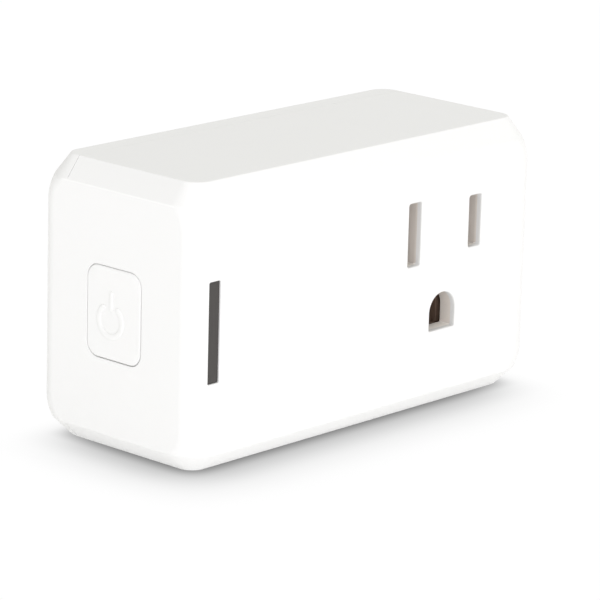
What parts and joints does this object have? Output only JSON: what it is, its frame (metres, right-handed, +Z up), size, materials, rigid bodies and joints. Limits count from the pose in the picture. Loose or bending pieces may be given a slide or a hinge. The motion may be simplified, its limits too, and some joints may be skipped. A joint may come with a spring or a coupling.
{
  "type": "smart plug",
  "caption": "Wall plug adapter with a box housing, sloped top and bottom bands, a grounded outlet, a side button and an indicator window.",
  "frame": {"origin": "centre of the housing's flat bottom face", "axes": "+X along the housing, away from the button end; -Y out of the socket face; +Y along the blades; +Z up"},
  "size_m": [0.0684, 0.0501, 0.0392],
  "materials": {
    "white_shell": "smooth satin moulding",
    "smoked_lens": "polished smoked plastic",
    "clear_guide": "polished clear plastic",
    "carrier_plastic": "satin",
    "relay_case": "satin",
    "board_green": "solder resist over glass laminate",
    "blade_brass": "stamped and tumbled",
    "contact_brass": "stamped",
    "iron": "plated soft iron",
    "copper_winding": "enamelled copper wire",
    "white_bobbin": "satin",
    "shield_tin": "tin plated",
    "capacitor_sleeve": "shrink sleeve",
    "disc_blue": "dipped epoxy",
    "ferrite": "sintered",
    "resistor_body": "dipped",
    "tape_yellow": "polyester tape",
    "led_body": "moulded",
    "screw_steel": "zinc plated"
  },
  "bodies": {
    "housing": {"board_header": "carrier_plastic", "board_screw_left": "screw_steel", "board_screw_right": "screw_steel", "bridge_rectifier": "relay_case", "contact_carrier": "carrier_plastic", "contact_retainer": "carrier_plastic", "front_housing": "white_shell", "fusible_resistor": "resistor_body", "ground_contact": "contact_brass", "ground_pin": "blade_brass", "ground_strap": "contact_brass", "hot_blade": "blade_brass", "hot_contact": "contact_brass", "hot_input_strap": "contact_brass", "hot_output_strap": "contact_brass", "indicator_led": "led_body", "indicator_window": "smoked_lens", "input_capacitor": "capacitor_sleeve", "input_choke": "copper_winding", "light_guide": "clear_guide", "main_board": "board_green", "neutral_blade": "blade_brass", "neutral_contact": "contact_brass", "neutral_strap": "contact_brass", "output_capacitor": "capacitor_sleeve", "rear_cover": "white_shell", "relay_base": "relay_case", "relay_bobbin": "white_bobbin", "relay_core": "iron", "relay_cover": "relay_case", "relay_fixed_contact": "contact_brass", "relay_winding": "copper_winding", "relay_yoke": "iron", "supply_chip": "relay_case", "switch_board": "board_green", "switch_body": "carrier_plastic", "transformer_core": "ferrite", "transformer_winding": "tape_yellow", "varistor": "disc_blue", "wifi_board": "board_green", "wifi_shield": "shield_tin"},
    "button": {"power_button": "white_shell"},
    "plunger": {"switch_plunger": "capacitor_sleeve"},
    "armature": {"relay_armature": "iron", "relay_contact_leaf": "contact_brass"}
  },
  "joints": [
    {"name": "button_press", "type": "slide", "parent": "housing", "child": "button", "axis": [1, 0, 0], "range_m": [0, 0.0004], "stiffness_N_per_m": 1500},
    {"name": "plunger_press", "type": "slide", "parent": "housing", "child": "plunger", "axis": [1, 0, 0], "range_m": [0, 0.0004]},
    {"name": "armature_swing", "type": "hinge", "parent": "housing", "child": "armature", "pos_m": [-0.0159, -0.0061, 0.0271], "axis": [0, 0, 1], "range_deg": [0, 5], "stiffness_Nm_per_rad": 0.02}
  ],
  "couplings": [
    {"joint": "plunger_press", "follows": "button_press", "ratio": 1}
  ]
}
